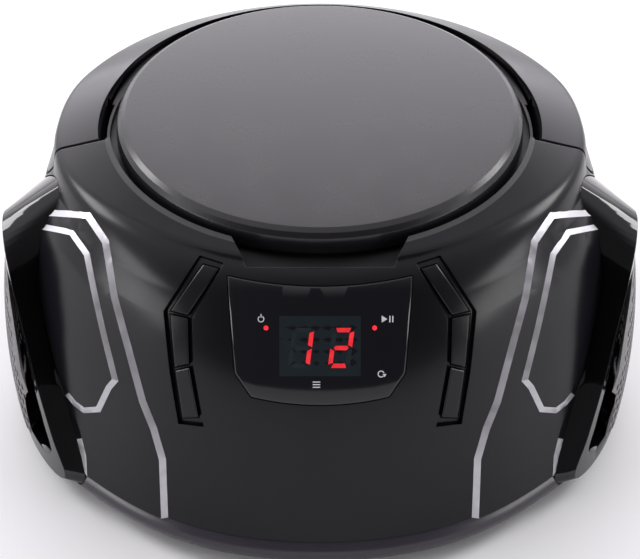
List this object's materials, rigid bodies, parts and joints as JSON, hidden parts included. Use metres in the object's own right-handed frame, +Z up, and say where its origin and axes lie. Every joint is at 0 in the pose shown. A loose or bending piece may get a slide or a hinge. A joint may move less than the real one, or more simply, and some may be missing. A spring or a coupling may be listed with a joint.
{
  "type": "portable cd boombox",
  "caption": "Round-topped portable disc player with a hinged disc lid, wrap-round carry handle, side speaker pods, digit display, push keys and a folding aerial.",
  "frame": {"origin": "centre of the box round the part, on the surface that the rubber feet stand on", "axes": "+X to the right seen from the front, +Y to the rear, +Z up; the display faces -Y and up"},
  "size_m": [0.238, 0.2341, 0.117],
  "materials": {
    "black_gloss": "high gloss moulded cabinet, lid, handle, pods and keys",
    "case_grey": "semi-gloss dark grey bottom case and battery door",
    "black_matt": "fine-textured black moulding",
    "lens_dark": "dark tinted display window",
    "grille_metal": "silver-grey perforated steel",
    "steel": "plain zinc-plated or stainless steel",
    "board": "green circuit board",
    "rubber_black": "soft black rubber",
    "cone_paper": "black pulp cone",
    "copper_iron": "laminated core with copper winding"
  },
  "bodies": {
    "cabinet": {"top_cabinet": "black_gloss", "bottom_case": "case_grey", "battery_spring_strip": "steel", "battery_contact_strip": "steel", "lid_hinge_pin": "steel", "cd_well_tray": "black_matt", "display_lens": "lens_dark", "display_module": "black_matt", "control_pcb": "board", "ac_inlet": "black_matt", "aux_jack": "steel", "antenna_mount": "black_matt", "mechanism_chassis": "steel", "spindle_motor": "steel", "guide_rod_front": "steel", "guide_rod_rear": "steel", "sled_motor": "steel", "main_pcb": "board", "power_transformer": "copper_iron", "volume_potentiometer": "steel", "tuning_potentiometer": "steel", "rubber_foot_1": "rubber_black", "case_screw_1": "steel", "rubber_foot_2": "rubber_black", "case_screw_2": "steel", "rubber_foot_3": "rubber_black", "case_screw_3": "steel", "rubber_foot_4": "rubber_black", "case_screw_4": "steel", "handle_pivot_pin_left": "steel", "pod_bezel_left": "black_gloss", "speaker_grille_left": "grille_metal", "speaker_basket_left": "steel", "handle_pivot_pin_right": "steel", "pod_bezel_right": "black_gloss", "speaker_grille_right": "grille_metal", "speaker_basket_right": "steel"},
    "lid": {"cd_lid": "black_gloss", "disc_clamp": "black_matt"},
    "handle": {"carry_handle": "black_gloss"},
    "battery_cover": {"battery_door": "case_grey"},
    "spindle": {"spindle_hub": "black_matt"},
    "sled": {"laser_sled": "black_matt", "laser_lens": "lens_dark"},
    "feed_gear": {"sled_gear": "black_matt"},
    "volume": {"volume_knob": "black_matt"},
    "tuning": {"tuning_knob": "black_matt"},
    "selector": {"function_slider": "black_matt"},
    "aerial_base": {"antenna_swivel": "steel"},
    "aerial_1": {"antenna_tube_1": "steel"},
    "aerial_2": {"antenna_tube_2": "steel"},
    "aerial_3": {"antenna_tube_3": "steel"},
    "cone_left": {"speaker_cone_left": "cone_paper"},
    "cone_right": {"speaker_cone_right": "cone_paper"},
    "key_left_upper": {"button_left_upper": "black_gloss"},
    "key_left_middle": {"button_left_middle": "black_gloss"},
    "key_left_lower": {"button_left_lower": "black_gloss"},
    "key_right_upper": {"button_right_upper": "black_gloss"},
    "key_right_middle": {"button_right_middle": "black_gloss"},
    "key_right_lower": {"button_right_lower": "black_gloss"}
  },
  "joints": [
    {"name": "lid_hinge", "type": "hinge", "parent": "cabinet", "child": "lid", "pos_m": [0, 0.073, 0.1085], "axis": [-1, 0, 0], "range_deg": [0, 60]},
    {"name": "handle_pivot", "type": "hinge", "parent": "cabinet", "child": "handle", "pos_m": [0, 0.007, 0.1005], "axis": [1, 0, 0], "range_deg": [0, 90]},
    {"name": "battery_door_hinge", "type": "hinge", "parent": "cabinet", "child": "battery_cover", "pos_m": [0, 0.0124, 0.0031], "axis": [-1, 0, 0], "range_deg": [0, 100]},
    {"name": "spindle_spin", "type": "hinge", "parent": "cabinet", "child": "spindle", "pos_m": [0, 0.007, 0.1], "axis": [0, 0, 1], "continuous": true},
    {"name": "sled_slide", "type": "slide", "parent": "cabinet", "child": "sled", "axis": [1, 0, 0], "range_m": [0, 0.032]},
    {"name": "feed_gear_spin", "type": "hinge", "parent": "cabinet", "child": "feed_gear", "pos_m": [0.039, -0.0215, 0.09], "axis": [0, 0, 1], "continuous": true},
    {"name": "volume_turn", "type": "hinge", "parent": "cabinet", "child": "volume", "pos_m": [-0.08026, 0.07927, 0.052], "axis": [-0.7431, 0.6691, 0], "range_deg": [-140, 140]},
    {"name": "tuning_turn", "type": "hinge", "parent": "cabinet", "child": "tuning", "pos_m": [0.08026, 0.07927, 0.052], "axis": [0.7431, 0.6691, 0], "range_deg": [-140, 140]},
    {"name": "function_slide", "type": "slide", "parent": "cabinet", "child": "selector", "axis": [1, 0, 0], "range_m": [0, 0.007]},
    {"name": "aerial_swivel", "type": "hinge", "parent": "cabinet", "child": "aerial_base", "pos_m": [-0.045, 0.1144, 0.075], "axis": [0, -1, 0], "range_deg": [0, 180]},
    {"name": "aerial_tilt", "type": "hinge", "parent": "aerial_base", "child": "aerial_1", "pos_m": [-0.045, 0.1144, 0.075], "axis": [0, 0, 1], "range_deg": [0, 90]},
    {"name": "aerial_pull_2", "type": "slide", "parent": "aerial_1", "child": "aerial_2", "axis": [1, 0, 0], "range_m": [0, 0.062]},
    {"name": "aerial_pull_3", "type": "slide", "parent": "aerial_2", "child": "aerial_3", "axis": [1, 0, 0], "range_m": [0, 0.06]},
    {"name": "press_left_upper", "type": "slide", "parent": "cabinet", "child": "key_left_upper", "axis": [0, 0.766, -0.6428], "range_m": [0, 0.0012], "stiffness_N_per_m": 400},
    {"name": "press_left_middle", "type": "slide", "parent": "cabinet", "child": "key_left_middle", "axis": [0, 0.766, -0.6428], "range_m": [0, 0.0012], "stiffness_N_per_m": 400},
    {"name": "press_left_lower", "type": "slide", "parent": "cabinet", "child": "key_left_lower", "axis": [0, 0.766, -0.6428], "range_m": [0, 0.0012], "stiffness_N_per_m": 400},
    {"name": "press_right_upper", "type": "slide", "parent": "cabinet", "child": "key_right_upper", "axis": [0, 0.766, -0.6428], "range_m": [0, 0.0012], "stiffness_N_per_m": 400},
    {"name": "press_right_middle", "type": "slide", "parent": "cabinet", "child": "key_right_middle", "axis": [0, 0.766, -0.6428], "range_m": [0, 0.0012], "stiffness_N_per_m": 400},
    {"name": "press_right_lower", "type": "slide", "parent": "cabinet", "child": "key_right_lower", "axis": [0, 0.766, -0.6428], "range_m": [0, 0.0012], "stiffness_N_per_m": 400},
    {"name": "cone_travel_left", "type": "slide", "parent": "cabinet", "child": "cone_left", "axis": [-1, 0, 0], "range_m": [-0.0008, 0.0008], "stiffness_N_per_m": 1500},
    {"name": "cone_travel_right", "type": "slide", "parent": "cabinet", "child": "cone_right", "axis": [1, 0, 0], "range_m": [-0.0008, 0.0008], "stiffness_N_per_m": 1500}
  ],
  "couplings": [
    {"joint": "feed_gear_spin", "follows": "sled_slide", "rad_per_m": -166.67}
  ]
}
